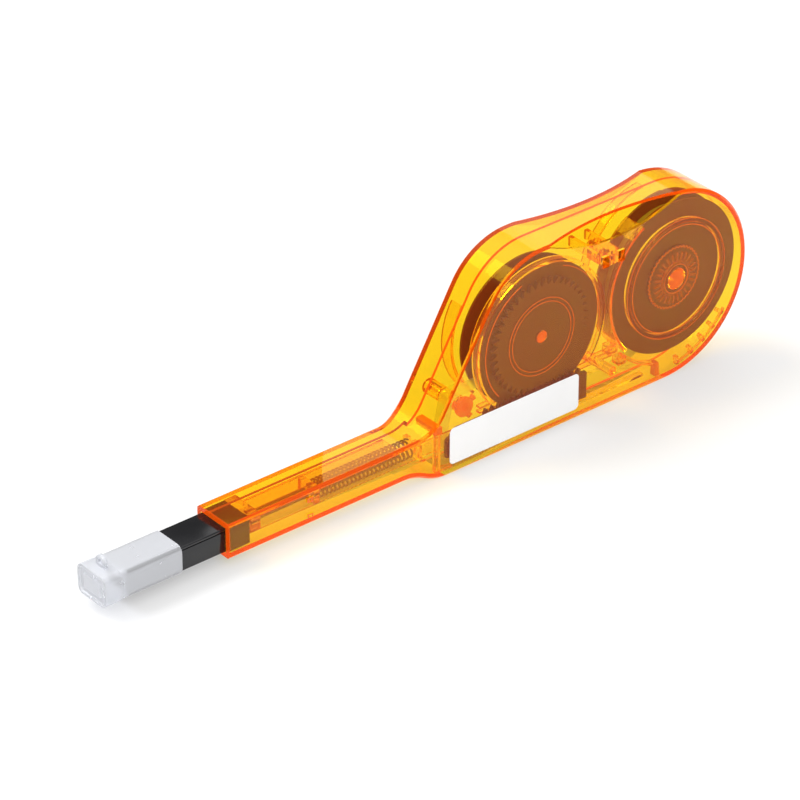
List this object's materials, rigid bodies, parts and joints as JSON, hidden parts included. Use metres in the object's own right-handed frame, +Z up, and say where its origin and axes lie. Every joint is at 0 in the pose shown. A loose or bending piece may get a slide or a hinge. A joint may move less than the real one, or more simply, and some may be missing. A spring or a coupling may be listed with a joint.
{
  "type": "fibre connector cleaning pen",
  "caption": "Push-type cleaning pen for multi-fibre connectors: a two-humped transparent case with tape reels, a sliding nose on a narrow arm, and a frosted cap.",
  "frame": {"origin": "middle of the footprint of the whole pen, on the surface it stands on", "axes": "+X from the nose towards the rear reel, +Y from the labelled side to the far side, +Z up"},
  "size_m": [0.2344, 0.018, 0.062],
  "materials": {
    "casing": "clear, polished, orange tint",
    "black_plastic": "satin black",
    "reel_plastic": "matt dark",
    "cap_plastic": "frosted, translucent",
    "tip_plastic": "matt grey",
    "steel": "drawn wire",
    "tape": "fine woven tape",
    "label": "satin sticker"
  },
  "bodies": {
    "casing": {"near_shell": "casing", "far_shell": "casing", "label": "label", "return_spring": "steel", "supply_run": "tape", "return_run": "tape"},
    "slider": {"nose_base": "black_plastic", "nose_cover": "black_plastic", "tip_core": "tip_plastic", "carriage": "casing", "spring_rod": "steel", "rack_bar": "black_plastic", "nose_tape": "tape"},
    "cap": {"cap": "cap_plastic"},
    "drive": {"drive_gear": "reel_plastic", "drive_pawl": "reel_plastic"},
    "take_up": {"take_up_reel": "reel_plastic", "take_up_tape": "tape"},
    "supply": {"supply_reel": "reel_plastic", "supply_tape": "tape"},
    "roller": {"guide_roller": "casing"}
  },
  "joints": [
    {"name": "nose_slide", "type": "slide", "parent": "casing", "child": "slider", "axis": [1, 0, 0], "range_m": [0, 0.012], "stiffness_N_per_m": 250, "springref_m": -0.008, "deforming": ["return_spring"]},
    {"name": "cap_pull", "type": "slide", "parent": "slider", "child": "cap", "axis": [-1, 0, 0], "range_m": [0, 0.03]},
    {"name": "gear_turn", "type": "hinge", "parent": "casing", "child": "drive", "pos_m": [0.0376, 0, 0.0323], "axis": [0, -1, 0], "range_deg": [0, 39.2]},
    {"name": "take_up_turn", "type": "hinge", "parent": "casing", "child": "take_up", "pos_m": [0.0376, 0, 0.0323], "axis": [0, -1, 0], "range_deg": [0, 39.2]},
    {"name": "supply_turn", "type": "hinge", "parent": "casing", "child": "supply", "pos_m": [0.0898, 0, 0.0323], "axis": [0, 1, 0], "range_deg": [0, 16.9]},
    {"name": "roller_turn", "type": "hinge", "parent": "casing", "child": "roller", "pos_m": [0.0089, 0, 0.0198], "axis": [0, 1, 0], "range_deg": [0, 147.4]}
  ],
  "couplings": [
    {"joint": "gear_turn", "follows": "nose_slide", "rad_per_m": 56.818},
    {"joint": "take_up_turn", "follows": "nose_slide", "rad_per_m": 56.818},
    {"joint": "supply_turn", "follows": "nose_slide", "rad_per_m": 24.486},
    {"joint": "roller_turn", "follows": "nose_slide", "rad_per_m": 214.25}
  ]
}
